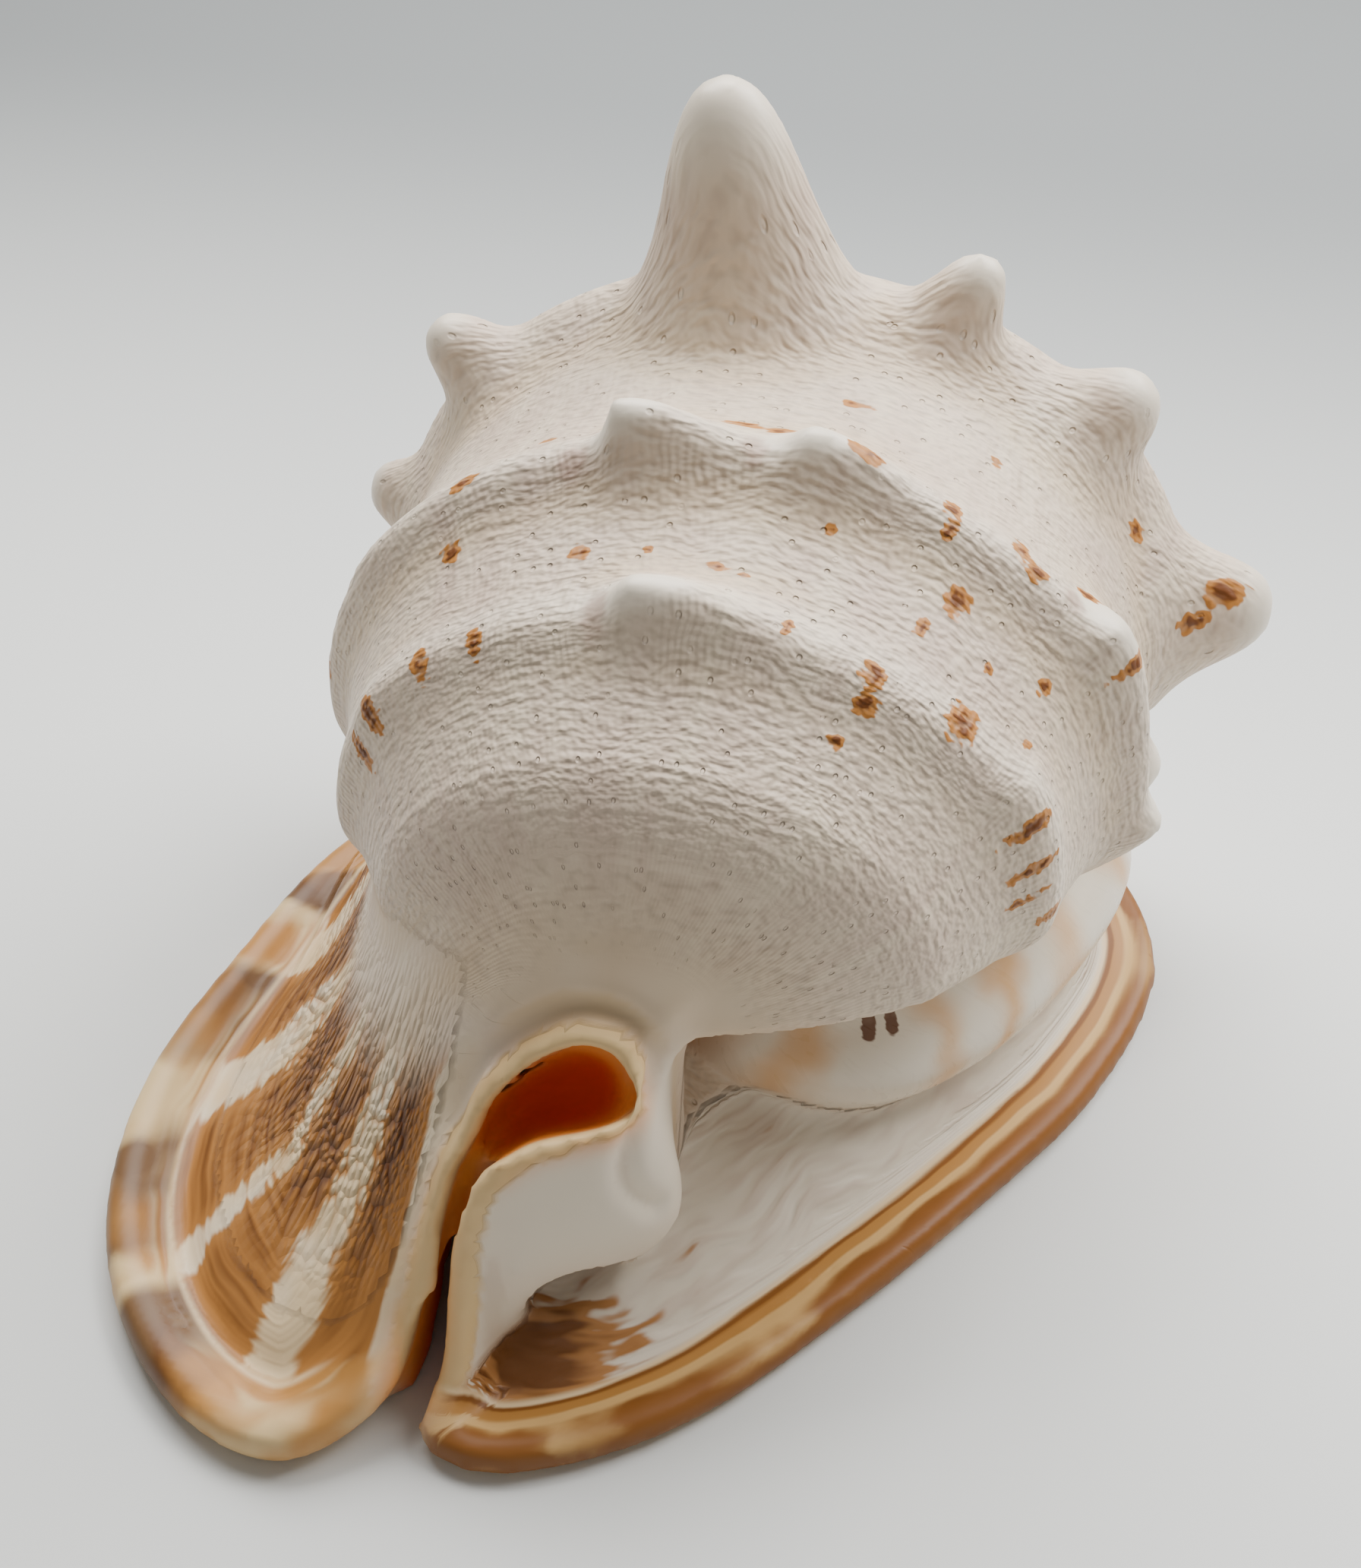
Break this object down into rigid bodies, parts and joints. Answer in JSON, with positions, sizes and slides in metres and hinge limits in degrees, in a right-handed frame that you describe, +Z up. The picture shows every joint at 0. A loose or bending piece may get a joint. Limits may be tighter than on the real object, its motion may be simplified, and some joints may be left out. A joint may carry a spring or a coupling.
{
  "type": "horned helmet shell",
  "caption": "Large horned helmet shell lying on its aperture, with knobbed whorl, tall shoulder horn, flared banded lip, flat shield and upturned siphonal canal.",
  "frame": {"origin": "middle of the footprint on the floor", "axes": "+Z up from the floor, +Y along the coil axis towards the spire, +X towards the shield"},
  "size_m": [0.25, 0.2666, 0.2149],
  "materials": {
    "shell": "satin cream shell with fine ribs, glossy brown-banded lip and tan rims, orange canal"
  },
  "bodies": {
    "root": {"shell": "shell"}
  },
  "joints": []
}
